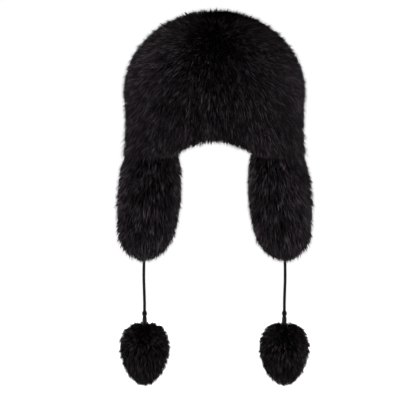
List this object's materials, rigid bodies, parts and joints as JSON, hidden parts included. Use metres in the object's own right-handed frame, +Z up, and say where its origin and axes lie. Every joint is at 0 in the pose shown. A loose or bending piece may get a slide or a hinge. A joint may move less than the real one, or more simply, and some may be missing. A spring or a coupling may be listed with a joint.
{
  "type": "ushanka",
  "caption": "Deep-fur winter hat with a hollow domed crown and two hanging ear flaps, each with a tie cord that ends in a fur pompom.",
  "frame": {"origin": "highest point inside the crown, where the top of the head touches it", "axes": "+Z up, the front (brow) towards -Y, +X to the right as seen from the front"},
  "size_m": [0.2698, 0.2919, 0.5249],
  "materials": {
    "fur": "long glossy fur",
    "lining": "matte quilted lining",
    "cord": "braided",
    "sleeve": "satin"
  },
  "bodies": {
    "root": {"crown": "lining", "crown_fur": "fur", "ear_flap_left": "fur", "ear_flap_right": "fur", "tie_cord_left": "cord", "tie_cord_right": "cord", "cord_knot_left": "cord", "cord_knot_right": "cord", "cord_sleeve_left": "sleeve", "cord_sleeve_right": "sleeve", "pompom_left": "fur", "pompom_right": "fur"}
  },
  "joints": []
}
